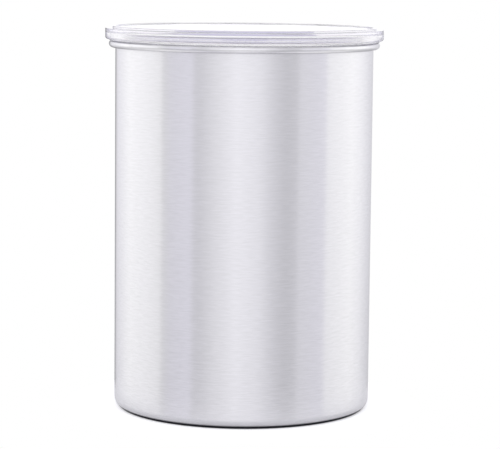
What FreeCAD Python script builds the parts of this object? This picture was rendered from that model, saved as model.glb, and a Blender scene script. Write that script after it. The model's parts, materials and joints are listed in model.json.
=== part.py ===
import FreeCAD, Part
import Sketcher
import math
import os
from types import SimpleNamespace

# Coffee canister: a drawn steel body, a clear outer lid, and inside it a plunger lid
# whose fold-up handle works an air valve.
# Millimetres, +Z up, origin at the centre of the base, front towards -Y.

DIMENSIONS = {
    # canister body, one drawn sheet with a rolled rim
    "body_radius": 60.0,
    "sheet_thickness": 0.6,
    "rim_height": 171.7,
    "curl_radius": 1.8,
    "curl_mouth": 0.3,
    "base_corner_radius": 4.0,
    "stand_ring_width": 7.0,
    "base_step_width": 3.0,
    "base_recess": 2.0,
    # clear outer lid
    "lid_overhang": 1.7,
    "lid_wall": 1.8,
    "lid_flange_height": 5.1,
    "lid_brow_width": 3.4,
    "lid_crown_rise": 0.9,
    "lid_crown_edge_radius": 0.4,
    "lid_rim_width": 1.0,
    "lid_rim_height": 0.4,
    "lid_brow_radius": 0.3,
    "lid_foot_land": 0.7,
    "lid_root_radius": 1.5,
    "lid_seat_gap": 0.3,
    "plug_depth": 9.0,
    "plug_gap": 0.8,
    "plug_lead": 0.6,
    # soft ring in the lid's channel
    "seal_fit": 0.05,
    "seal_lip_width": 0.9,
    "seal_lip_drop": 0.7,
    "seal_groove_depth": 0.8,
    # plunger lid: a dish with a rim, heights counted from the top of its floor
    "plunger_gap": 2.4,
    "ring_height": 16.0,
    "ring_edge_radius": 0.8,
    "ring_foot_radius": 1.5,
    "floor_thickness": 2.4,
    "floor_root_radius": 2.5,
    "groove_depth": 1.6,
    "groove_web": 1.8,
    "groove_height": 7.0,
    "groove_lift": 3.0,
    "rib_height": 2.0,
    "rib_width": 1.8,
    "rib_gap": 1.0,
    "handle_headroom": 5.0,
    # wiper gasket in the plunger's groove
    "gasket_fit": 0.05,
    "gasket_proud": 0.6,
    "lip_start": 0.5,
    "lip_root": 1.3,
    "lip_tip": 0.7,
    "lip_rise": 1.6,
    "lip_pitch": 3.4,
    "wiper_gap": 0.3,
    # valve: stem, flap, yoke and retainer
    "stem_radius": 2.5,
    "stem_gap": 0.12,
    "neck_depth": 0.5,
    "neck_fit": 0.03,
    "collar_width": 3.5,
    "guide_wall": 1.98,
    "guide_length": 5.6,
    "flap_overlap": 2.0,
    "flap_thickness": 1.2,
    "flap_edge": 0.7,
    "flap_seat_gap": 0.1,
    "vent_radius": 1.5,
    "vent_web": 1.4,
    "yoke_wall": 1.8,
    "yoke_thickness": 5.0,
    "yoke_side_gap": 0.3,
    "yoke_corner_radius": 1.2,
    "retainer_width": 2.5,
    "retainer_thickness": 2.0,
    "retainer_edge_radius": 0.5,
    "retainer_gap": 0.4,
    "stem_tail": 0.8,
    # hub wall round the valve and the cover over it
    "hub_gap": 0.9,
    "hub_wall": 1.6,
    "hub_height": 5.0,
    "cover_fit": 0.1,
    "cover_wall": 1.6,
    "cover_roof": 1.8,
    "cover_roof_gap": 0.5,
    "cover_edge_radius": 2.5,
    "cover_dish_margin": 2.2,
    "cover_dish_depth": 0.7,
    "axle_slot_gap": 0.4,
    "cover_vent_width": 3.0,
    "cover_vent_height": 2.6,
    "cover_vent_drop": 1.0,
    # handle: bail, axle, cam, lugs and caps
    "bail_radius": 38.0,
    "bail_width": 9.0,
    "bail_thickness": 6.0,
    "bail_edge_radius": 2.0,
    "foot_wall": 2.6,
    "foot_margin": 1.0,
    "heel_width": 4.0,
    "heel_edge_radius": 1.2,
    "heel_gap": 0.3,
    "rest_peg_radius": 3.0,
    "rest_gap": 0.3,
    "axle_radius": 2.0,
    "axle_flat_depth": 0.5,
    "axle_gap": 0.1,
    "key_fit": 0.03,
    "cam_throw": 1.5,
    "cam_wall": 1.0,
    "cam_gap": 0.25,
    "cam_width": 6.0,
    "lug_thickness": 5.0,
    "lug_wall": 2.4,
    "lug_flare": 2.0,
    "lug_side_gap": 0.4,
    "cap_wall": 1.6,
    "cap_length": 2.8,
    "cap_edge_radius": 1.2,
    "cap_socket": 1.8,
    # angle of the handle's swing in degrees
    "handle_swing": 90.0,
    # how far cuts run past the faces they open
    "overrun": 1.0,
}
VENT_COUNT = 8
RIB_COUNT = 8
COVER_VENT_COUNT = 8
REST_PEG_ANGLE = -45.0
FULL_TURN = 360.0
HALF_TURN = 180.0


class Size:
    """A length: its value now, and the sheet expression that drives it."""

    def __init__(self, value, text):
        self.value = value
        self.text = text

    def __add__(self, other):
        return Size(self.value + other.value, f"({self.text} + {other.text})")

    def __sub__(self, other):
        return Size(self.value - other.value, f"({self.text} - {other.text})")

    def __mul__(self, factor):
        return Size(self.value * factor, f"({self.text} * {factor})")

    def __neg__(self):
        return Size(-self.value, f"(-{self.text})")

    def half(self):
        return Size(self.value / 2, f"({self.text} / 2)")


def leg(hypotenuse, side):
    """The other short side of a right triangle."""
    value = math.sqrt(hypotenuse.value**2 - side.value**2)
    return Size(value, f"sqrt({hypotenuse.text}^2 - {side.text}^2)")


def shrunk(length, inner, outer):
    """A length scaled by the ratio of two radii."""
    value = length.value * inner.value / outer.value
    return Size(value, f"({length.text} * {inner.text} / {outer.text})")


def turned(length, angle):
    """The level and upright parts of a length that points up by an angle."""
    radians = math.radians(angle.value)
    level = Size(length.value * math.cos(radians), f"({length.text} * cos({angle.text}))")
    upright = Size(length.value * math.sin(radians), f"({length.text} * sin({angle.text}))")
    return level, upright


doc = FreeCAD.newDocument("coffee_canister")
sheet = doc.addObject("Spreadsheet::Sheet", "Dims")
for row, (alias, number) in enumerate(DIMENSIONS.items(), 1):
    sheet.set(f"A{row}", alias)
    sheet.set(f"B{row}", str(number))
    sheet.setAlias(f"B{row}", alias)
doc.recompute()

ZERO = Size(0, "0")
dim = SimpleNamespace(**{name: Size(number, f"Dims.{name}") for name, number in DIMENSIONS.items()})

# radii and heights that several pieces share
body_bore = dim.body_radius - dim.sheet_thickness
bead_radius = body_bore + dim.curl_radius * 2

lid_radius = bead_radius + dim.lid_overhang
lid_height = dim.lid_flange_height + dim.lid_crown_rise
lid_base = dim.rim_height + dim.lid_seat_gap
lid_plate_top = lid_height - dim.lid_rim_height
lid_ceiling = lid_plate_top - dim.lid_wall
plug_radius = body_bore - dim.plug_gap
channel_roof = dim.lid_flange_height - dim.lid_wall
channel_radius = lid_radius - dim.lid_wall

plunger_radius = body_bore - dim.plunger_gap
ring_bore = plunger_radius - dim.groove_depth - dim.groove_web
groove_radius = plunger_radius - dim.groove_depth
groove_bottom = dim.groove_lift - dim.floor_thickness

stem_bore = dim.stem_radius + dim.stem_gap
neck_radius = dim.stem_radius - dim.neck_depth
collar_radius = dim.stem_radius + dim.collar_width
guide_radius = stem_bore + dim.guide_wall
guide_end = -(dim.floor_thickness + dim.guide_length)
vent_circle = guide_radius + dim.vent_web + dim.vent_radius
flap_radius = vent_circle + dim.vent_radius + dim.flap_overlap
flap_top = dim.flap_seat_gap + dim.flap_thickness

cam_radius = dim.axle_radius + dim.cam_throw + dim.cam_wall
cam_reach, cam_drop = turned(dim.cam_throw, dim.handle_swing.half())
valve_lift = cam_drop * 2
retainer_top = guide_end - valve_lift - dim.retainer_gap
yoke_floor = flap_top + dim.yoke_wall
yoke_roof = yoke_floor + (cam_radius + dim.cam_gap) * 2
yoke_top = yoke_roof + dim.yoke_wall
pivot_height = yoke_floor + dim.cam_gap + cam_radius + cam_drop

hub_bore = flap_radius + dim.hub_gap
hub_radius = hub_bore + dim.hub_wall
cover_bore = hub_radius + dim.cover_fit
cover_radius = cover_bore + dim.cover_wall
cover_ceiling = yoke_top + valve_lift + dim.cover_roof_gap

axle_bore = dim.axle_radius + dim.axle_gap
axle_flat = dim.axle_radius - dim.axle_flat_depth
bail_bore = dim.bail_radius - dim.bail_width
foot_length = dim.bail_width + dim.foot_margin
foot_face = dim.bail_radius - foot_length
lug_face = foot_face - dim.lug_side_gap - dim.lug_thickness

# heights above the base of the plunger's floor and of the handle's axle
axle_height = lid_base + lid_ceiling - dim.handle_headroom - dim.bail_radius
plunger_base = axle_height - pivot_height


def new_body(label, height=ZERO):
    """A sub-part whose own zero stands at a height above the base."""
    body = doc.addObject("PartDesign::Body", label)
    body.Label = label
    body.setExpression("Placement.Base.z", height.text)
    return body


def origin_feature(body, role):
    return next(feature for feature in body.Origin.OriginFeatures if feature.Role == role)


def new_sketch(body, name, plane, offset=ZERO, angle=0):
    """A sketch on one of the body's own planes, moved out along its normal and turned in it."""
    sketch = body.newObject("Sketcher::SketchObject", name)
    sketch.AttachmentSupport = [(origin_feature(body, plane), "")]
    sketch.MapMode = "FlatFace"
    sketch.AttachmentOffset = FreeCAD.Placement(
        FreeCAD.Vector(0, 0, offset.value), FreeCAD.Rotation(FreeCAD.Vector(0, 0, 1), angle)
    )
    if offset is not ZERO:
        sketch.setExpression("AttachmentOffset.Base.z", offset.text)
    return sketch


def bind(sketch, kind, references, size):
    index = sketch.addConstraint(Sketcher.Constraint(kind, *references, size.value))
    sketch.setExpression(f"Constraints[{index}]", size.text)


def pin_level(sketch, geometry, end, x):
    if x is ZERO:
        sketch.addConstraint(Sketcher.Constraint("PointOnObject", geometry, end, -2))
    else:
        bind(sketch, "DistanceX", (-1, 1, geometry, end), x)


def pin_upright(sketch, geometry, end, y):
    if y is ZERO:
        sketch.addConstraint(Sketcher.Constraint("PointOnObject", geometry, end, -1))
    else:
        bind(sketch, "DistanceY", (-1, 1, geometry, end), y)


def vector(x, y):
    return FreeCAD.Vector(x.value, y.value, 0)


def step_towards(corner, other):
    """The square direction from one corner of an outline to the next."""
    across = other[0].value - corner[0].value
    along = other[1].value - corner[1].value
    if abs(across) > abs(along):
        return math.copysign(1, across), 0
    return 0, math.copysign(1, along)


def rounded(corners):
    """Turn corners given as (x, y, radius) into an arc between two points.

    A point is (x, y) where a line leaves it and (x, y, centre, turn) where an arc does.
    """
    points = []
    for index, corner in enumerate(corners):
        if len(corner) != 3:
            points.append(corner)
            continue
        x, y, radius = corner
        back = step_towards(corner, corners[index - 1])
        ahead = step_towards(corner, corners[(index + 1) % len(corners)])
        start = (x + radius * back[0], y + radius * back[1])
        end = (x + radius * ahead[0], y + radius * ahead[1])
        centre = (start[0] + radius * ahead[0], start[1] + radius * ahead[1])
        turn = ahead[0] * back[1] - ahead[1] * back[0]
        points.append((*start, centre, turn))
        points.append(end)
    return points


def add_arc(sketch, start, end, centre, turn):
    """Add an arc; returns its geometry and the ends that it starts and stops at."""
    middle = vector(*centre)
    spokes = [vector(*start) - middle, vector(*end) - middle]
    if turn < 0:
        spokes.reverse()
    angles = [math.atan2(spoke.y, spoke.x) for spoke in spokes]
    circle = Part.Circle(middle, FreeCAD.Vector(0, 0, 1), spokes[0].Length)
    geometry = sketch.addGeometry(Part.ArcOfCircle(circle, *angles))
    chord = vector(*end) - vector(*start)
    if abs(chord.y) > abs(chord.x) / 2:
        pin_level(sketch, geometry, 3, centre[0])
    else:
        pin_upright(sketch, geometry, 3, centre[1])
    return (geometry, 1, 2) if turn > 0 else (geometry, 2, 1)


def outline(sketch, corners):
    """Draw a closed outline in a sketch, every corner bound to the sheet."""
    points = rounded(corners)
    pieces = []
    for index, point in enumerate(points):
        following = points[(index + 1) % len(points)]
        if len(point) == 2:
            line = Part.LineSegment(vector(*point), vector(*following[:2]))
            pieces.append((sketch.addGeometry(line), 1, 2))
        else:
            pieces.append(add_arc(sketch, point[:2], following[:2], point[2], point[3]))
    for index, (geometry, start, end) in enumerate(pieces):
        after = pieces[(index + 1) % len(pieces)]
        sketch.addConstraint(Sketcher.Constraint("Coincident", geometry, end, after[0], after[1]))
    for point, (geometry, start, end) in zip(points, pieces):
        pin_level(sketch, geometry, start, point[0])
        pin_upright(sketch, geometry, start, point[1])


def circle(sketch, x, y, radius):
    geometry = sketch.addGeometry(Part.Circle(vector(x, y), FreeCAD.Vector(0, 0, 1), radius.value))
    pin_level(sketch, geometry, 3, x)
    pin_upright(sketch, geometry, 3, y)
    bind(sketch, "Radius", (geometry,), radius)


def rectangle(sketch, left, right, bottom, top):
    outline(sketch, [(left, bottom), (right, bottom), (right, top), (left, top)])


def keyed_circle(sketch, radius, flat):
    """A circle about the sketch's origin with a flat along its top."""
    reach = leg(radius, flat)
    outline(sketch, [(reach, flat), (-reach, flat, (ZERO, ZERO), 1)])


def revolve(body, sketch, axis="V_Axis", angle=FULL_TURN):
    feature = body.newObject("PartDesign::Revolution", sketch.Name + "_turn")
    feature.Profile = sketch
    feature.ReferenceAxis = (sketch, [axis])
    feature.Angle = angle
    doc.recompute()
    return feature


def pad(body, sketch, length, symmetric=False):
    feature = body.newObject("PartDesign::Pad", sketch.Name + "_pad")
    feature.Profile = sketch
    feature.SideType = "Symmetric" if symmetric else "One side"
    feature.setExpression("Length", length.text)
    doc.recompute()
    return feature


def pocket(body, sketch, length, symmetric=False, backwards=False):
    """Cut a sketch out of a body, and make sure that the cut took something away."""
    volume = body.Shape.Volume
    feature = body.newObject("PartDesign::Pocket", sketch.Name + "_cut")
    feature.Profile = sketch
    feature.SideType = "Symmetric" if symmetric else "One side"
    feature.Reversed = backwards
    feature.setExpression("Length", length.text)
    doc.recompute()
    if not feature.Shape.Volume < volume:
        raise RuntimeError(f"{sketch.Name} cuts nothing")
    return feature


def pattern(body, feature, count):
    """Repeat a feature evenly round the body's upright axis."""
    copies = body.newObject("PartDesign::PolarPattern", feature.Name + "_ring")
    copies.Originals = [feature]
    copies.Axis = (origin_feature(body, "Z_Axis"), [""])
    copies.Angle = FULL_TURN
    copies.Occurrences = count
    body.Tip = copies
    doc.recompute()


def mirror(body, *features):
    """Repeat features on the other side of the body's YZ plane."""
    copies = body.newObject("PartDesign::Mirrored", features[-1].Name + "_pair")
    copies.Originals = list(features)
    copies.MirrorPlane = (origin_feature(body, "YZ_Plane"), [""])
    body.Tip = copies
    doc.recompute()


def turned_body(label, corners, height=ZERO):
    """A sub-part that is one section turned about the upright axis."""
    body = new_body(label, height)
    section = new_sketch(body, label + "_section", "XZ_Plane")
    outline(section, corners)
    revolve(body, section)
    return body


def make_canister_shell():
    """Drawn sheet: recessed base panel, standing ring, wall and hollow rolled rim."""
    stand_outer = dim.body_radius - dim.base_corner_radius
    stand_inner = stand_outer - dim.stand_ring_width
    panel_radius = stand_inner - dim.base_step_width
    panel_top = dim.base_recess + dim.sheet_thickness
    curl_bore = dim.curl_radius - dim.sheet_thickness
    curl = (body_bore + dim.curl_radius, dim.rim_height - dim.curl_radius)
    end_reach = curl[0] - dim.body_radius - dim.curl_mouth
    end_fall = leg(dim.curl_radius, end_reach)
    lip_outer = (curl[0] - end_reach, curl[1] - end_fall)
    lip_inner = (
        curl[0] - shrunk(end_reach, curl_bore, dim.curl_radius),
        curl[1] - shrunk(end_fall, curl_bore, dim.curl_radius),
    )
    corner = (stand_outer, dim.base_corner_radius)
    return turned_body("canister_shell", [
        (ZERO, dim.base_recess),
        (panel_radius, dim.base_recess),
        (stand_inner, ZERO),
        (stand_outer, ZERO, corner, 1),
        (dim.body_radius, dim.base_corner_radius),
        (dim.body_radius, curl[1], curl, -1),
        lip_inner,
        (*lip_outer, curl, 1),
        (body_bore, curl[1]),
        (body_bore, dim.base_corner_radius, corner, -1),
        (stand_outer, dim.sheet_thickness),
        (stand_inner, dim.sheet_thickness),
        (panel_radius, panel_top),
        (ZERO, panel_top),
    ])


def make_outer_lid():
    """Clear lid: top plate with a low rim, flange with a channel under it, plug for the mouth."""
    plug_bottom = -dim.plug_depth
    plug_bore = plug_radius - dim.lid_wall
    crown_radius = lid_radius - dim.lid_brow_width
    rim_bore = crown_radius - dim.lid_rim_width
    return turned_body("outer_lid", [
        (ZERO, lid_plate_top),
        (ZERO, lid_ceiling),
        (plug_bore, lid_ceiling, dim.lid_root_radius),
        (plug_bore, plug_bottom),
        (plug_radius - dim.plug_lead, plug_bottom),
        (plug_radius, plug_bottom + dim.plug_lead),
        (plug_radius, channel_roof),
        (channel_radius, channel_roof),
        (channel_radius, ZERO),
        (lid_radius, ZERO, dim.lid_wall - dim.lid_foot_land),
        (lid_radius, dim.lid_flange_height, dim.lid_brow_radius),
        (crown_radius, dim.lid_flange_height),
        (crown_radius, lid_height, dim.lid_crown_edge_radius),
        (rim_bore, lid_height),
        (rim_bore - dim.lid_rim_height, lid_plate_top),
    ], lid_base)


def make_outer_lid_seal():
    """Soft ring in the lid's channel: one lip on the rim's top, one down over its shoulder."""
    inner = plug_radius + dim.seal_fit
    outer = channel_radius - dim.seal_fit
    return turned_body("outer_lid_seal", [
        (inner, ZERO),
        (inner + dim.seal_lip_width, ZERO),
        (inner + dim.seal_lip_width, dim.seal_groove_depth),
        (outer - dim.seal_lip_width, dim.seal_groove_depth),
        (outer - dim.seal_lip_width, ZERO),
        (outer, -dim.seal_lip_drop),
        (outer, channel_roof - dim.seal_fit),
        (inner, channel_roof - dim.seal_fit),
    ], lid_base)


def make_plunger_disc():
    """Moulded dish: rim with a gasket groove, hub, stem guide, vents, ribs, lugs and pegs."""
    underside = -dim.floor_thickness
    groove_top = groove_bottom + dim.groove_height
    body = turned_body("plunger_disc", [
        (stem_bore, guide_end),
        (guide_radius, guide_end),
        (guide_radius, underside),
        (plunger_radius, underside, dim.ring_foot_radius),
        (plunger_radius, groove_bottom),
        (groove_radius, groove_bottom),
        (groove_radius, groove_top),
        (plunger_radius, groove_top),
        (plunger_radius, dim.ring_height, dim.ring_edge_radius),
        (ring_bore, dim.ring_height, dim.ring_edge_radius),
        (ring_bore, ZERO, dim.floor_root_radius),
        (hub_radius, ZERO),
        (hub_radius, dim.hub_height),
        (hub_bore, dim.hub_height),
        (hub_bore, ZERO),
        (stem_bore, ZERO),
    ], plunger_base)

    rib = new_sketch(body, "rib", "XY_Plane", angle=HALF_TURN / RIB_COUNT)
    half_rib = dim.rib_width.half()
    rectangle(rib, cover_radius + dim.rib_gap, ring_bore + dim.groove_web.half(), -half_rib, half_rib)
    pattern(body, pad(body, rib, dim.rib_height), RIB_COUNT)

    peg = new_sketch(body, "rest_peg", "XY_Plane", angle=REST_PEG_ANGLE)
    circle(peg, dim.bail_radius - dim.bail_width.half(), ZERO, dim.rest_peg_radius)
    peg_pad = pad(body, peg, pivot_height - dim.bail_thickness.half() - dim.rest_gap)
    mirror(body, peg_pad)

    lug = new_sketch(body, "axle_lug", "YZ_Plane", lug_face)
    head = axle_bore + dim.lug_wall
    lug_foot = head + dim.lug_flare
    lug_root = -dim.floor_thickness.half()
    outline(lug, [
        (-lug_foot, lug_root),
        (lug_foot, lug_root),
        (head, pivot_height, (ZERO, pivot_height), 1),
        (-head, pivot_height),
    ])
    circle(lug, ZERO, pivot_height, axle_bore)
    mirror(body, pad(body, lug, dim.lug_thickness))

    vent = new_sketch(body, "vent", "XY_Plane")
    circle(vent, vent_circle, ZERO, dim.vent_radius)
    pattern(body, pocket(body, vent, dim.floor_thickness + dim.overrun), VENT_COUNT)
    return body


def make_wiper_gasket():
    """Silicone ring in the plunger's groove, with two lips that wipe the wall."""
    inner = groove_radius + dim.gasket_fit
    band = plunger_radius + dim.gasket_proud
    tip = body_bore - dim.wiper_gap
    bottom = groove_bottom + dim.gasket_fit
    top = groove_bottom + dim.groove_height - dim.gasket_fit

    def lip(start):
        return [
            (band, start),
            (tip, start + dim.lip_rise),
            (tip, start + dim.lip_rise + dim.lip_tip),
            (band, start + dim.lip_root),
        ]

    first = groove_bottom + dim.lip_start
    corners = [(inner, bottom), (band, bottom), *lip(first), *lip(first + dim.lip_pitch)]
    return turned_body("wiper_gasket", [*corners, (band, top), (inner, top)], plunger_base)


def make_hub_cover():
    """Cap over the valve works: dished top, slots for the axle and vents under the roof."""
    top = cover_ceiling + dim.cover_roof
    dish_radius = cover_radius - dim.cover_edge_radius - dim.cover_dish_margin
    body = turned_body("hub_cover", [
        (cover_bore, ZERO),
        (cover_radius, ZERO),
        (cover_radius, top, dim.cover_edge_radius),
        (dish_radius, top),
        (ZERO, top - dim.cover_dish_depth),
        (ZERO, cover_ceiling),
        (cover_bore, cover_ceiling),
    ], plunger_base)

    slot = new_sketch(body, "axle_slot", "YZ_Plane")
    half_slot = dim.axle_radius + dim.axle_slot_gap
    slot_foot = -dim.overrun
    outline(slot, [
        (-half_slot, slot_foot),
        (half_slot, slot_foot),
        (half_slot, pivot_height, (ZERO, pivot_height), 1),
        (-half_slot, pivot_height),
    ])
    pocket(body, slot, (cover_radius + dim.overrun) * 2, symmetric=True)

    vent = new_sketch(body, "cover_vent", "XZ_Plane")
    half_vent = dim.cover_vent_width.half()
    vent_top = cover_ceiling - dim.cover_vent_drop
    rectangle(vent, -half_vent, half_vent, vent_top - dim.cover_vent_height, vent_top)
    pattern(body, pocket(body, vent, cover_radius + dim.overrun), COVER_VENT_COUNT)
    return body


def make_handle_bail():
    """Half-round bail with a keyed foot at each end and heels that stop it upright."""
    body = new_body("handle_bail", axle_height)
    section = new_sketch(body, "bail_section", "XZ_Plane")
    half_height = dim.bail_thickness.half()
    edge = dim.bail_edge_radius
    outline(section, [
        (bail_bore, -half_height, edge),
        (dim.bail_radius, -half_height, edge),
        (dim.bail_radius, half_height, edge),
        (bail_bore, half_height, edge),
    ])
    arch = revolve(body, section, angle=HALF_TURN)
    arch.Reversed = True
    doc.recompute()

    foot = new_sketch(body, "bail_foot", "YZ_Plane", foot_face)
    circle(foot, ZERO, ZERO, dim.axle_radius + dim.foot_wall)
    foot_pad = pad(body, foot, foot_length)
    heel = new_sketch(body, "bail_heel", "YZ_Plane", foot_face)
    heel_end = pivot_height - dim.heel_gap
    outline(heel, [
        (ZERO, ZERO),
        (heel_end, ZERO),
        (heel_end, dim.heel_width, dim.heel_edge_radius),
        (ZERO, dim.heel_width),
    ])
    mirror(body, foot_pad, pad(body, heel, foot_length))

    bore = new_sketch(body, "bail_bore", "YZ_Plane")
    keyed_circle(bore, dim.axle_radius + dim.key_fit, axle_flat + dim.key_fit)
    pocket(body, bore, (dim.bail_radius + dim.overrun) * 2, symmetric=True)
    return body


def make_handle_axle():
    """Steel rod with flats under the cam and under both feet of the bail."""
    body = new_body("handle_axle", axle_height)
    rod = new_sketch(body, "axle_rod", "YZ_Plane")
    circle(rod, ZERO, ZERO, dim.axle_radius)
    half_length = dim.bail_radius + dim.cap_socket
    pad(body, rod, half_length * 2, symmetric=True)

    def flat(name, offset=ZERO):
        sketch = new_sketch(body, name, "YZ_Plane", offset)
        side = dim.axle_radius + dim.overrun
        rectangle(sketch, -side, side, axle_flat, side)
        return sketch

    pocket(body, flat("cam_flat"), dim.cam_width, symmetric=True)
    ends = pocket(body, flat("foot_flat", foot_face), foot_length, backwards=True)
    mirror(body, ends)
    return body


def make_valve_cam():
    """Eccentric on the axle: low while the handle lies flat, high once it stands."""
    body = new_body("valve_cam", axle_height)
    disc = new_sketch(body, "cam_disc", "YZ_Plane")
    circle(disc, -cam_reach, -cam_drop, cam_radius)
    pad(body, disc, dim.cam_width, symmetric=True)
    bore = new_sketch(body, "cam_bore", "YZ_Plane")
    keyed_circle(bore, dim.axle_radius + dim.key_fit, axle_flat + dim.key_fit)
    pocket(body, bore, dim.cam_width + dim.overrun, symmetric=True)
    return body


def make_axle_caps():
    """Push-on caps over both ends of the axle."""
    cap = new_body("axle_cap", axle_height)
    section = new_sketch(cap, "cap_section", "XZ_Plane")
    face = dim.bail_radius + dim.key_fit
    end = face + dim.cap_length
    socket_end = face + dim.cap_socket
    bore = dim.axle_radius + dim.key_fit
    cap_radius = dim.axle_radius + dim.cap_wall
    outline(section, [
        (face, bore),
        (socket_end, bore),
        (socket_end, ZERO),
        (end, ZERO),
        (end, cap_radius, dim.cap_edge_radius),
        (face, cap_radius),
    ])
    revolve(cap, section, "H_Axis")
    other = doc.addObject("Part::Mirroring", "other_axle_cap")
    other.Source = cap
    other.Normal = FreeCAD.Vector(1, 0, 0)
    pair = doc.addObject("Part::Compound", "axle_caps")
    pair.Label = "axle_caps"
    pair.Links = [cap, other]
    return pair


def make_valve_stem():
    """Stem in the guide, neck for the flap, collar over it and a yoke round the cam."""
    tail = retainer_top - dim.retainer_thickness - dim.stem_tail
    body = turned_body("valve_stem", [
        (ZERO, tail),
        (dim.stem_radius, tail),
        (dim.stem_radius, dim.flap_seat_gap),
        (neck_radius, dim.flap_seat_gap),
        (neck_radius, flap_top),
        (collar_radius, flap_top),
        (collar_radius, yoke_floor),
        (ZERO, yoke_floor),
    ], plunger_base)
    yoke = new_sketch(body, "yoke", "YZ_Plane")
    window = cam_radius + dim.cam_throw + dim.yoke_side_gap
    side = window + dim.yoke_wall
    outline(yoke, [
        (-side, flap_top),
        (side, flap_top),
        (side, yoke_top, dim.yoke_corner_radius),
        (-side, yoke_top, dim.yoke_corner_radius),
    ])
    rectangle(yoke, -window, window, yoke_floor, yoke_roof)
    pad(body, yoke, dim.yoke_thickness, symmetric=True)
    return body


def make_valve_flap():
    """Silicone flap held in the stem's neck, thinner towards its edge."""
    bore = neck_radius + dim.neck_fit
    seat = dim.flap_seat_gap
    return turned_body("valve_flap", [
        (bore, seat),
        (flap_radius, seat),
        (flap_radius, seat + dim.flap_edge),
        (collar_radius, flap_top),
        (bore, flap_top),
    ], plunger_base)


def make_stem_retainer():
    """Push-on ring that meets the guide when the valve is fully lifted."""
    bottom = retainer_top - dim.retainer_thickness
    bore = dim.stem_radius + dim.neck_fit
    radius = dim.stem_radius + dim.retainer_width
    return turned_body("stem_retainer", [
        (bore, bottom),
        (radius, bottom, dim.retainer_edge_radius),
        (radius, retainer_top, dim.retainer_edge_radius),
        (bore, retainer_top),
    ], plunger_base)


sub_parts = [
    make_canister_shell(),
    make_outer_lid(),
    make_outer_lid_seal(),
    make_plunger_disc(),
    make_wiper_gasket(),
    make_hub_cover(),
    make_handle_bail(),
    make_handle_axle(),
    make_valve_cam(),
    make_axle_caps(),
    make_valve_stem(),
    make_valve_flap(),
    make_stem_retainer(),
]
doc.recompute()

for thing in doc.Objects:
    if "Invalid" in thing.State or "Error" in thing.State:
        raise RuntimeError(f"{thing.Label} failed: {thing.State}")
for part in sub_parts:
    if part.Shape.isNull() or not part.Shape.isValid():
        raise RuntimeError(f"{part.Label} has no valid shape")

os.makedirs("parts", exist_ok=True)
for part in sub_parts:
    part.Shape.exportStep(f"parts/{part.Label}.step")
    box = part.Shape.BoundBox
    print(
        f"{part.Label}: {len(part.Shape.Solids)} solid, {part.Shape.Volume / 1000:.2f} cm3, "
        f"z {box.ZMin:.2f} to {box.ZMax:.2f}, x {box.XMin:.2f} to {box.XMax:.2f}, "
        f"y {box.YMin:.2f} to {box.YMax:.2f}"
    )
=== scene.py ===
"""Coffee canister in a white studio: materials, finer meshes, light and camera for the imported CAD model.

Metres, +Z up, front towards -Y, as in the CAD model. Sizes of the pieces are written in millimetres.
"""
import json
import math

import bpy
from mathutils import Matrix


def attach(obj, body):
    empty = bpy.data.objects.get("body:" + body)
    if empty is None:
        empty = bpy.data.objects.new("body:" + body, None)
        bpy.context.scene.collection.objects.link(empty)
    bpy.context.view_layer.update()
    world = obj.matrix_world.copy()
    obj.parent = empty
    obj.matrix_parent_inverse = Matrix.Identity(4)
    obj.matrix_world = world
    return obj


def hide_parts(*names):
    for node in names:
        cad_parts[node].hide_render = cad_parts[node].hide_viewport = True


MM = 0.001
SEGMENTS = 384                          # steps round the turned pieces
ARC_STEPS = 8                           # steps along a rounded corner of a profile
INNER_CURL_STEPS = 4 * ARC_STEPS        # steps along the rolled rim
OUTER_CURL_STEPS = 6 * ARC_STEPS
BOUNCES = 128                           # enough for the light that runs round in the clear lid

# drawn steel body
BODY_RADIUS = 60.0
SHEET = 0.6
BORE = BODY_RADIUS - SHEET
RIM_HEIGHT = 171.7
CURL_RADIUS = 1.8
CURL_MOUTH_ANGLE = -120.0
BASE_CORNER = 4.0
BASE_RECESS = 2.0
BASE_STEP = 3.0
BASE_BEND = 0.3
STAND_WIDTH = 7.0
STAND_OUTER = BODY_RADIUS - BASE_CORNER
STAND_INNER = STAND_OUTER - STAND_WIDTH
PANEL_RADIUS = STAND_INNER - BASE_STEP
BRUSHED_FROM = 2.0
BRUSHED_TO = 168.0

# clear outer lid
LID_SEAT_GAP = 0.3
LID_BASE = RIM_HEIGHT + LID_SEAT_GAP
LID_OVERHANG = 1.7
LID_RADIUS = BORE + 2 * CURL_RADIUS + LID_OVERHANG
LID_WALL = 1.8
LID_ROOT = 1.5
LID_FOOT = 1.1
LID_EDGE = 0.2
FLANGE_HEIGHT = 5.1
FLANGE_TOP = LID_BASE + FLANGE_HEIGHT
BROW_WIDTH = 3.4
BROW_EDGE = 0.3
CROWN_RADIUS = LID_RADIUS - BROW_WIDTH
CROWN_RISE = 0.9
CROWN_TOP = FLANGE_TOP + CROWN_RISE
CROWN_EDGE = 0.4
LID_RIM_WIDTH = 1.0
LID_RIM_HEIGHT = 0.4
LID_RIM_EDGE = 0.15
RIM_BORE = CROWN_RADIUS - LID_RIM_WIDTH
PLATE_TOP = CROWN_TOP - LID_RIM_HEIGHT
LID_CEILING = PLATE_TOP - LID_WALL
PLUG_GAP = 0.8
PLUG_RADIUS = BORE - PLUG_GAP
PLUG_BORE = PLUG_RADIUS - LID_WALL
PLUG_DEPTH = 9.0
PLUG_BOTTOM = LID_BASE - PLUG_DEPTH
PLUG_LEAD = 0.6
PLUG_EDGE = 0.3
CHANNEL_ROOF = FLANGE_TOP - LID_WALL
CHANNEL_RADIUS = LID_RADIUS - LID_WALL

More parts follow.
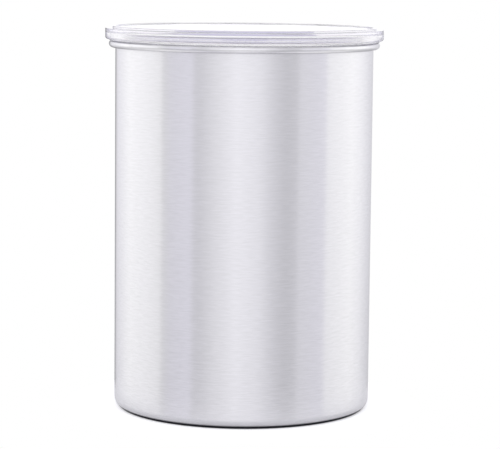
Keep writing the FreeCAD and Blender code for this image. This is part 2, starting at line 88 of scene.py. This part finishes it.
# soft ring in the lid's channel
SEAL_FIT = 0.05
SEAL_INNER = PLUG_RADIUS + SEAL_FIT
SEAL_OUTER = CHANNEL_RADIUS - SEAL_FIT
SEAL_TOP = CHANNEL_ROOF - SEAL_FIT
SEAL_TOP_EDGE = 0.1
SEAL_LIP = 0.9
SEAL_LIP_EDGE = 0.15
SEAL_GROOVE = 0.8
SEAL_GROOVE_EDGE = 0.2
SEAL_DROP = 0.7
SEAL_FOOT = LID_BASE - SEAL_DROP
# painted shade on the seal's lower lip, standing in for the shadowed gap between the lip and the rolled rim:
# its height and colour
SEAL_SHADE_HEIGHT = 0.3
SEAL_SHADE_COLOUR = (0.06, 0.06, 0.09)

# most of a noise texture's values lie between these two
NOISE_LOW = 0.3
NOISE_HIGH = 0.7

# white tent that the steel mirrors: degrees from the camera towards +X, level, and its violet
# where that isn't the one that follows from the level
TENT = (
    (-180, 1.05), (-175.5, 1.00), (-172.5, 0.33), (-164, 0.33), (-159, 0.74), (-148, 0.92),
    (-122, 1.22), (-96, 1.17), (-78.5, 1.08, 0.2), (-76, 0.86, 0.4), (-68, 0.89, 1.5), (-47, 0.96, 1.7),
    (-44.5, 0.81), (-40, 0.82), (-25, 1.00), (-6, 1.17, 0.7), (14, 1.07, 0.8), (27, 0.88),
    (38, 0.75), (48, 0.78), (51, 0.91), (77.5, 0.94, 1.6), (79.5, 1.11), (113, 1.23),
    (130, 1.09), (150, 0.82), (168, 0.62), (174, 1.00), (180, 1.05),
)
# what is left of it with height: the direction's Z, and a factor
TENT_HEIGHTS = (
    (-0.8, 0.92), (-0.5, 0.68), (-0.3, 0.72), (-0.1, 1.08), (0.1, 1.16), (0.3, 1.03), (0.5, 0.90),
)
TENT_PEAK = 1.7                         # no level or factor is above this
# levels under the first value turn violet, fully so when they are lower by the second
VIOLET_BELOW = 1.25
VIOLET_REACH = 0.35
# what full violet takes from the green and adds to the blue
VIOLET_GREEN = 0.006
VIOLET_BLUE = 0.04

# far ends of the room, seen through the clear lid: past this Y of the direction, and within this Z
ROOM_COLOUR = (0.62, 0.61, 0.74, 1)
ROOM_EDGE = 0.94
ROOM_HEIGHT = 0.3
WHITE = (1, 1, 1, 1)

# round floor just under the base
FLOOR_RADIUS = 84.0
FLOOR_SEGMENTS = 96
FLOOR_DROP = 0.2
# its dark middle, a painted contact shadow: where that ends to the eye and in the steel, the width of its
# soft edge, and the colours
FLOOR_SEEN = 56.6
FLOOR_MIRRORED = 58.1
FLOOR_FADE = 1.4
FLOOR_PAINTED_SHADOW = (0.032, 0.032, 0.04, 1)
FLOOR_PALE = (0.86, 0.86, 0.87, 1)
# the floor's own light, to the eye and in the steel
FLOOR_GLOW_SEEN = 0.5
FLOOR_GLOW_MIRRORED = 0.1

# camera: place in metres, lens in mm, angles in degrees
CAMERA_PLACE = (0, -1.036, 0.2111)
CAMERA_SENSOR = 36.0
CAMERA_LENS = 159.9
CAMERA_YAW = -0.1875
CAMERA_DOWN = 6.92
CAMERA_ROLL = 0.57869


# shader nodes

def set_inputs(tree, node, inputs):
    """Sets a node's sockets to values, or links them to outputs of other nodes."""
    for socket, value in inputs.items():
        if isinstance(value, bpy.types.NodeSocket):
            tree.links.new(value, node.inputs[socket])
        else:
            node.inputs[socket].default_value = value


def add(tree, kind, inputs=None, **settings):
    """A new node with its inputs and settings."""
    node = tree.nodes.new(kind)
    for name, value in settings.items():
        setattr(node, name, value)
    set_inputs(tree, node, inputs or {})
    return node


def new_material(name):
    """A material with a bare Principled shader: (material, its tree, the shader)."""
    material = bpy.data.materials.new(name)
    material.use_nodes = True
    tree = material.node_tree
    tree.nodes.clear()
    shader = add(tree, "ShaderNodeBsdfPrincipled")
    add(tree, "ShaderNodeOutputMaterial", {"Surface": shader.outputs["BSDF"]})
    return material, tree, shader


def calculate(tree, operation, *values):
    """The result of one step of arithmetic on numbers or outputs."""
    return add(tree, "ShaderNodeMath", dict(enumerate(values)), operation=operation).outputs[0]


def own_place(tree):
    """The shaded point in the piece's own coordinates."""
    return add(tree, "ShaderNodeTexCoord").outputs["Object"]


def own_height(tree):
    """The shaded point's height in the piece's own coordinates."""
    return add(tree, "ShaderNodeSeparateXYZ", {"Vector": own_place(tree)}).outputs["Z"]


def place_noise(tree, waves, detail=2.0, roughness=0.5):
    """Noise fixed to the piece; waves is how many it has per metre, or those along x, y and z."""
    per_axis = waves if isinstance(waves, tuple) else (waves, waves, waves)
    scaled = add(tree, "ShaderNodeMapping", {"Vector": own_place(tree), "Scale": per_axis})
    inputs = {"Vector": scaled.outputs["Vector"], "Scale": 1.0, "Detail": detail, "Roughness": roughness}
    return add(tree, "ShaderNodeTexNoise", inputs).outputs["Fac"]


def spread(tree, noise, low, high):
    """Moves a noise value to the range low to high."""
    inputs = {"Value": noise, "From Min": NOISE_LOW, "From Max": NOISE_HIGH, "To Min": low, "To Max": high}
    return add(tree, "ShaderNodeMapRange", inputs).outputs["Result"]


def ramp(tree, value, stops):
    """A colour that follows value through stops of (position, colour) in rising order."""
    node = add(tree, "ShaderNodeValToRGB", {"Fac": value})
    elements = node.color_ramp.elements
    ready = len(elements)
    for index, (position, colour) in enumerate(stops):
        element = elements[index] if index < ready else elements.new(position)
        element.position = position
        element.color = colour
    return node.outputs["Color"]


def tinted(tree, noise, dark, light):
    """A colour between dark and light that follows a noise value."""
    return ramp(tree, noise, [(NOISE_LOW, (*dark, 1)), (NOISE_HIGH, (*light, 1))])


def bumped(tree, height, strength, depth, **inputs):
    """The surface's direction with bumps that are depth mm deep at full strength."""
    inputs.update({"Height": height, "Strength": strength, "Distance": depth * MM})
    return add(tree, "ShaderNodeBump", inputs).outputs["Normal"]


# materials

def brushed_steel(name, dark, light, across, along, brushed):
    """Steel with hairlines round the axis; across and along are lines per metre over and along them.

    It is brushed between two heights in mm, and polished below and above them.
    """
    material, tree, shader = new_material(name)
    low_polish = 0.06
    high_polish = 0.18
    smoothest_line = 0.22
    roughest_line = 0.27
    fine_share = 0.35
    fine = place_noise(tree, (along, along, across), detail=3.0, roughness=0.6)
    # broad lines are 2 times as long and 3 times as wide
    broad = place_noise(tree, (along / 2, along / 2, across / 3), detail=1.0)
    broad_part = calculate(tree, "MULTIPLY", broad, 1 - fine_share)
    hairlines = calculate(tree, "MULTIPLY_ADD", fine, fine_share, broad_part)
    height = own_height(tree)
    above = calculate(tree, "GREATER_THAN", height, brushed[0] * MM)
    below = calculate(tree, "LESS_THAN", height, brushed[1] * MM)
    worked = calculate(tree, "MULTIPLY", above, below)
    polish = add(tree, "ShaderNodeMix", {"Factor": above, "A": low_polish, "B": high_polish})
    grain = spread(tree, hairlines, smoothest_line, roughest_line)
    finish = add(tree, "ShaderNodeMix", {"Factor": worked, "A": polish.outputs["Result"], "B": grain})
    tangent = add(tree, "ShaderNodeTangent", direction_type="RADIAL", axis="Z")
    set_inputs(tree, shader, {
        "Base Color": tinted(tree, hairlines, dark, light),
        "Metallic": 1.0,
        "Roughness": finish.outputs["Result"],
        "Anisotropic": 1.0,
        "Anisotropic Rotation": 0.25,
        "Tangent": tangent.outputs["Tangent"],
        "Normal": bumped(tree, hairlines, strength=0.06, depth=0.05),
    })
    return material


def clear_plastic(name):
    """Polished clear plastic, faintly violet where light runs far in it, with a flow wave and scuffs."""
    material, tree, shader = new_material(name)
    wave = place_noise(tree, 45, detail=1.0)
    scuffs = place_noise(tree, (900, 120, 120), detail=4.0, roughness=0.7)
    depth = add(tree, "ShaderNodeVolumeAbsorption", {"Color": (0.8, 0.77, 0.93, 1), "Density": 2.5})
    tree.links.new(depth.outputs["Volume"], tree.nodes["Material Output"].inputs["Volume"])
    set_inputs(tree, shader, {
        "Base Color": (0.995, 0.99, 1, 1),
        "Roughness": spread(tree, scuffs, low=0.0, high=0.01),
        "IOR": 1.49,
        "Transmission Weight": 1.0,
        "Normal": bumped(tree, wave, strength=0.03, depth=1.0),
    })
    return material


def silicone(name, dark, light, clearness, roughness, painted_shade_foot=None):
    """Soft silicone; clearness 0 is opaque, 1 is water clear.

    A foot is a lower edge darkened as painted shade, standing in for the shadowed gap where it meets the rim:
    its top in mm, and the shade's colour.
    """
    material, tree, shader = new_material(name)
    unevenness = 0.05
    cloud = place_noise(tree, 140, detail=3.0)
    skin = place_noise(tree, 2500)
    colour = tinted(tree, cloud, dark, light)
    # painted shade: below the foot's top the colour is swapped for a dark one
    if painted_shade_foot:
        under = calculate(tree, "LESS_THAN", own_height(tree), painted_shade_foot[0] * MM)
        mix = add(tree, "ShaderNodeMixRGB", {"Fac": under, "Color1": colour, "Color2": (*painted_shade_foot[1], 1)})
        colour = mix.outputs["Color"]
    set_inputs(tree, shader, {
        "Base Color": colour,
        "Roughness": spread(tree, skin, roughness - unevenness, roughness + unevenness),
        "IOR": 1.41,
        "Transmission Weight": clearness,
        "Normal": bumped(tree, skin, strength=0.02, depth=0.05),
    })
    return material


def moulded_plastic(name, dark, light, roughness, grain):
    """Moulded plastic with a spark-eroded grain, in grains per metre, and softened edges."""
    material, tree, shader = new_material(name)
    unevenness = 0.06
    edge_radius = 0.3
    cloud = place_noise(tree, 60, detail=3.0)
    spark = place_noise(tree, grain, roughness=0.6)
    soft_edge = add(tree, "ShaderNodeBevel", {"Radius": edge_radius * MM}, samples=4)
    set_inputs(tree, shader, {
        "Base Color": tinted(tree, cloud, dark, light),
        "Roughness": spread(tree, spark, roughness - unevenness, roughness + unevenness),
        "Normal": bumped(tree, spark, strength=0.25, depth=0.06, Normal=soft_edge.outputs["Normal"]),
    })
    return material


MATERIALS = {
    "steel_body": brushed_steel(
        "steel_body", dark=(0.722, 0.717, 0.737), light=(0.797, 0.792, 0.815),
        across=4600, along=400, brushed=(BRUSHED_FROM, BRUSHED_TO),
    ),
    "clear_lid": clear_plastic("clear_lid"),
    "clear_silicone": silicone(
        "clear_silicone", dark=(0.985, 0.985, 0.99), light=(1, 1, 1), clearness=1.0, roughness=0.05,
        # the foot is painted shade on the seal's lower lip
        painted_shade_foot=(SEAL_FOOT + SEAL_SHADE_HEIGHT, SEAL_SHADE_COLOUR),
    ),
    "plunger_plastic": moulded_plastic(
        "plunger_plastic", dark=(0.145, 0.15, 0.16), light=(0.175, 0.18, 0.19), roughness=0.5, grain=2600,
    ),
    "gasket_silicone": silicone(
        "gasket_silicone", dark=(0.57, 0.58, 0.59), light=(0.66, 0.67, 0.68), clearness=0.0, roughness=0.44,
    ),
    "cover_plastic": moulded_plastic(
        "cover_plastic", dark=(0.185, 0.19, 0.2), light=(0.215, 0.22, 0.23), roughness=0.4, grain=3200,
    ),
    "handle_plastic": moulded_plastic(
        "handle_plastic", dark=(0.038, 0.038, 0.042), light=(0.052, 0.052, 0.058), roughness=0.36, grain=2200,
    ),
    "axle_steel": brushed_steel(
        "axle_steel", dark=(0.66, 0.66, 0.67), light=(0.74, 0.74, 0.75),
        across=900, along=900, brushed=(0.0, CROWN_TOP),
    ),
    "valve_plastic": moulded_plastic(
        "valve_plastic", dark=(0.83, 0.83, 0.81), light=(0.89, 0.89, 0.87), roughness=0.3, grain=1800,
    ),
}


# turned pieces

def arc(centre, radius, start, end, steps):
    """Points round centre from the start angle to the end angle, in degrees."""
    points = []
    for step in range(steps + 1):
        angle = math.radians(start + (end - start) * step / steps)
        points.append((centre[0] + radius * math.cos(angle), centre[1] + radius * math.sin(angle)))
    return points


def rounded(corners):
    """The line through the corners; a corner with a third number is rounded to that radius."""
    points = []
    for index, (r, z, *radius) in enumerate(corners):
        if not radius:
            points.append((r, z))
            continue
        before, after = corners[index - 1], corners[(index + 1) % len(corners)]
        angle_in = math.atan2(before[1] - z, before[0] - r)
        angle_out = math.atan2(after[1] - z, after[0] - r)
        opening = (angle_out - angle_in + math.pi) % (2 * math.pi) - math.pi
        half = abs(opening) / 2
        middle = angle_in + opening / 2
        distance = radius[0] / math.sin(half)
        centre = (r + distance * math.cos(middle), z + distance * math.sin(middle))
        sweep = math.copysign(math.pi - 2 * half, -opening)
        first = middle + math.pi - sweep / 2
        points += arc(centre, radius[0], math.degrees(first), math.degrees(first + sweep), ARC_STEPS)
    return points


def turned(name, profile, slot):
    """Spins a profile of (radius, height) in mm round the axis; an end on the axis closes to one point."""
    vertices, rings = [], []
    for r, z in profile:
        first = len(vertices)
        count = 1 if r == 0 else SEGMENTS
        for step in range(count):
            angle = 2 * math.pi * step / SEGMENTS
            vertices.append((r * MM * math.cos(angle), r * MM * math.sin(angle), z * MM))
        rings.append([first + step % count for step in range(SEGMENTS + 1)])
    faces = []
    on_axis = profile[0][0] == 0
    for index in range(len(rings) - 1 if on_axis else len(rings)):
        lower, upper = rings[index], rings[(index + 1) % len(rings)]
        for step in range(SEGMENTS):
            face = [lower[step], lower[step + 1], upper[step + 1], upper[step]]
            faces.append(list(dict.fromkeys(face)))
    mesh = bpy.data.meshes.new(name)
    mesh.from_pydata(vertices, [], faces)
    mesh.shade_smooth()
    piece = bpy.data.objects.new(name, mesh)
    bpy.context.scene.collection.objects.link(piece)
    piece.modifiers.new("even_normals", "WEIGHTED_NORMAL")
    mesh.materials.append(MATERIALS[slot])
    return piece


def canister_profile():
    """Outside of the sheet from the base panel up, through the hollow rolled rim, and back down inside."""
    curl = (BORE + CURL_RADIUS, RIM_HEIGHT - CURL_RADIUS)
    corner = (STAND_OUTER, BASE_CORNER)
    outside = rounded([
        (0, BASE_RECESS),
        (PANEL_RADIUS, BASE_RECESS, BASE_BEND),
        (STAND_INNER, 0, BASE_BEND),
        (STAND_OUTER, 0),
    ])
    bend = arc(corner, BASE_CORNER, -90, 0, ARC_STEPS)[1:]
    under_curl = arc(curl, CURL_RADIUS - SHEET, 180, CURL_MOUTH_ANGLE, INNER_CURL_STEPS)
    over_curl = arc(curl, CURL_RADIUS, CURL_MOUTH_ANGLE, 180, OUTER_CURL_STEPS)
    inner_bend = arc(corner, BASE_CORNER - SHEET, 0, -90, ARC_STEPS)
    inside = rounded([
        (STAND_OUTER, SHEET),
        (STAND_INNER, SHEET, BASE_BEND),
        (PANEL_RADIUS, BASE_RECESS + SHEET, BASE_BEND),
        (0, BASE_RECESS + SHEET),
    ])[1:]
    return outside + bend + under_curl + over_curl + inner_bend + inside


def lid_profile():
    """Clear lid from the middle of its underside, round plug, channel and flange, to the top."""
    return rounded([
        (0, LID_CEILING),
        (PLUG_BORE, LID_CEILING, LID_ROOT),
        (PLUG_BORE, PLUG_BOTTOM, PLUG_EDGE),
        (PLUG_RADIUS - PLUG_LEAD, PLUG_BOTTOM, LID_EDGE),
        (PLUG_RADIUS, PLUG_BOTTOM + PLUG_LEAD, LID_EDGE),
        (PLUG_RADIUS, CHANNEL_ROOF, LID_EDGE),
        (CHANNEL_RADIUS, CHANNEL_ROOF, LID_EDGE),
        (CHANNEL_RADIUS, LID_BASE),
        (LID_RADIUS, LID_BASE, LID_FOOT),
        (LID_RADIUS, FLANGE_TOP, BROW_EDGE),
        (CROWN_RADIUS, FLANGE_TOP, LID_EDGE),
        (CROWN_RADIUS, CROWN_TOP, CROWN_EDGE),
        (RIM_BORE, CROWN_TOP, LID_RIM_EDGE),
        (RIM_BORE - LID_RIM_HEIGHT, PLATE_TOP, LID_RIM_EDGE),
        (0, PLATE_TOP),
    ])


def seal_profile():
    """Soft ring: a lip over the top of the rim, a groove, and a lip down over the rim's shoulder."""
    return rounded([
        (SEAL_INNER, LID_BASE, SEAL_LIP_EDGE),
        (SEAL_INNER + SEAL_LIP, LID_BASE, SEAL_LIP_EDGE),
        (SEAL_INNER + SEAL_LIP, LID_BASE + SEAL_GROOVE, SEAL_GROOVE_EDGE),
        (SEAL_OUTER - SEAL_LIP, LID_BASE + SEAL_GROOVE, SEAL_GROOVE_EDGE),
        (SEAL_OUTER - SEAL_LIP, LID_BASE, SEAL_LIP_EDGE),
        (SEAL_OUTER, SEAL_FOOT, SEAL_LIP_EDGE),
        (SEAL_OUTER, SEAL_TOP, SEAL_TOP_EDGE),
        (SEAL_INNER, SEAL_TOP, SEAL_TOP_EDGE),
    ])


# studio

def background(tree, colour, strength=1.0):
    """Light of one colour from all round."""
    return add(tree, "ShaderNodeBackground", {"Color": colour, "Strength": strength}).outputs["Background"]


def choose(tree, choice, otherwise, chosen):
    """The second light where choice is 1, the first where it is 0."""
    return add(tree, "ShaderNodeMixShader", {0: choice, 1: otherwise, 2: chosen}).outputs["Shader"]


def tent_colour(level, violet=None):
    """Colour of the tent at one level, as a share of TENT_PEAK."""
    if violet is None:
        violet = min(max((VIOLET_BELOW - level) / VIOLET_REACH, 0), 1)
    share = level / TENT_PEAK
    return (share, share * (1 - VIOLET_GREEN * violet), share * (1 + VIOLET_BLUE * violet), 1)


def tent_light(tree, direction):
    """The tent round the canister; its level changes with the direction's azimuth and height."""
    towards_camera = calculate(tree, "MULTIPLY", direction["Y"], -1.0)
    azimuth = calculate(tree, "ARCTAN2", direction["X"], towards_camera)
    # a ramp runs from 0 to 1, so 0 degrees and a Z of 0 are at its middle
    turn = calculate(tree, "MULTIPLY_ADD", azimuth, 0.5 / math.pi, 0.5)
    rise = calculate(tree, "MULTIPLY_ADD", direction["Z"], 0.5, 0.5)
    colours = [(0.5 + degrees / 360, tent_colour(*look)) for degrees, *look in TENT]
    factors = [(0.5 + height / 2, tent_colour(factor, violet=0)) for height, factor in TENT_HEIGHTS]
    strength = calculate(tree, "MULTIPLY", ramp(tree, rise, factors), TENT_PEAK * TENT_PEAK)
    return background(tree, ramp(tree, turn, colours), strength)


def light_studio(scene):
    """A tent for the steel, white behind the canister, and white with the room's ends through its lid."""
    world = bpy.data.worlds.new("white_tent")
    scene.world = world
    world.use_nodes = True
    tree = world.node_tree
    tree.nodes.clear()
    ahead = add(tree, "ShaderNodeTexCoord").outputs["Generated"]
    direction = add(tree, "ShaderNodeSeparateXYZ", {"Vector": ahead}).outputs
    rays = add(tree, "ShaderNodeLightPath").outputs
    white = background(tree, WHITE)
    level = calculate(tree, "LESS_THAN", calculate(tree, "ABSOLUTE", direction["Z"]), ROOM_HEIGHT)
    far = calculate(tree, "GREATER_THAN", calculate(tree, "ABSOLUTE", direction["Y"]), ROOM_EDGE)
    room_end = calculate(tree, "MULTIPLY", far, level)
    through_lid = choose(tree, room_end, white, background(tree, ROOM_COLOUR))
    lit = choose(tree, rays["Is Transmission Ray"], tent_light(tree, direction), through_lid)
    seen = choose(tree, rays["Is Camera Ray"], lit, white)
    add(tree, "ShaderNodeOutputWorld", {"Surface": seen})


def lay_floor():
    """A pale round floor that keeps the canister's shadow, with a painted contact shadow darkest where the
    base meets it.
    """
    bpy.ops.mesh.primitive_circle_add(
        vertices=FLOOR_SEGMENTS,
        radius=FLOOR_RADIUS * MM,
        fill_type="NGON",
        location=(0, 0, -FLOOR_DROP * MM),
    )
    floor = bpy.context.object
    floor.name = "floor"
    material, tree, shader = new_material("pale_floor")
    rays = add(tree, "ShaderNodeLightPath").outputs
    eye = rays["Is Camera Ray"]
    radius = add(tree, "ShaderNodeVectorMath", {0: own_place(tree)}, operation="LENGTH").outputs["Value"]
    # painted contact shadow: dark out to a radius that is smaller to the eye than in the steel's reflection,
    # then fading to pale
    reach = calculate(tree, "MULTIPLY_ADD", eye, FLOOR_SEEN - FLOOR_MIRRORED, FLOOR_MIRRORED)
    away = calculate(tree, "SUBTRACT", radius, calculate(tree, "MULTIPLY", reach, MM))
    faded = calculate(tree, "DIVIDE", away, FLOOR_FADE * MM)
    shade = ramp(tree, faded, [(0, FLOOR_PAINTED_SHADOW), (1, FLOOR_PALE)])
    glow_seen = calculate(tree, "MULTIPLY", eye, FLOOR_GLOW_SEEN)
    glow = calculate(tree, "MULTIPLY_ADD", rays["Is Glossy Ray"], FLOOR_GLOW_MIRRORED, glow_seen)
    set_inputs(tree, shader, {
        "Base Color": shade,
        "Roughness": 0.6,
        "Specular IOR Level": 0.0,
        "Emission Color": shade,
        "Emission Strength": glow,
    })
    floor.data.materials.append(material)


def place_camera(scene):
    """The photograph's viewpoint: a long lens a little above the lid."""
    data = bpy.data.cameras.new("camera")
    data.sensor_fit = "HORIZONTAL"
    data.sensor_width = CAMERA_SENSOR
    data.lens = CAMERA_LENS
    camera = bpy.data.objects.new("camera", data)
    scene.collection.objects.link(camera)
    yaw = Matrix.Rotation(math.radians(CAMERA_YAW), 4, "Z")
    pitch = Matrix.Rotation(math.radians(90 - CAMERA_DOWN), 4, "X")
    roll = Matrix.Rotation(math.radians(CAMERA_ROLL), 4, "Z")
    camera.matrix_world = Matrix.Translation(CAMERA_PLACE) @ yaw @ pitch @ roll
    scene.camera = camera


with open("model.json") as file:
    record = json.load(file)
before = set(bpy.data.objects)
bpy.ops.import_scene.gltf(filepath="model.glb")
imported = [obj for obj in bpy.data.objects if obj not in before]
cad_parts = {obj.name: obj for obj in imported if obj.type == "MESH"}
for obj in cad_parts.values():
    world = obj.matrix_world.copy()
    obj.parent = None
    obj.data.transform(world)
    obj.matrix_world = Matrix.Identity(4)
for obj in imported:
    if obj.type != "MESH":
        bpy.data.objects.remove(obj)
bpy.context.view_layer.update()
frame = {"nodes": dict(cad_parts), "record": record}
scene = bpy.context.scene
scene.view_settings.view_transform = "Standard"
scene.cycles.max_bounces = BOUNCES
scene.cycles.glossy_bounces = BOUNCES
scene.cycles.transmission_bounces = BOUNCES

for subpart in frame["record"]["subparts"]:
    node = frame["nodes"][subpart["node"]]
    node.data.materials.clear()
    node.data.materials.append(MATERIALS[subpart["material_slot"]])

shell = turned("canister_shell_spun", canister_profile(), "steel_body")
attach(shell, "canister")
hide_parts("canister_shell")

lid = turned("outer_lid_spun", lid_profile(), "clear_lid")
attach(lid, "outer_lid")
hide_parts("outer_lid")

seal = turned("outer_lid_seal_spun", seal_profile(), "clear_silicone")
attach(seal, "outer_lid")
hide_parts("outer_lid_seal")

light_studio(scene)
lay_floor()
place_camera(scene)
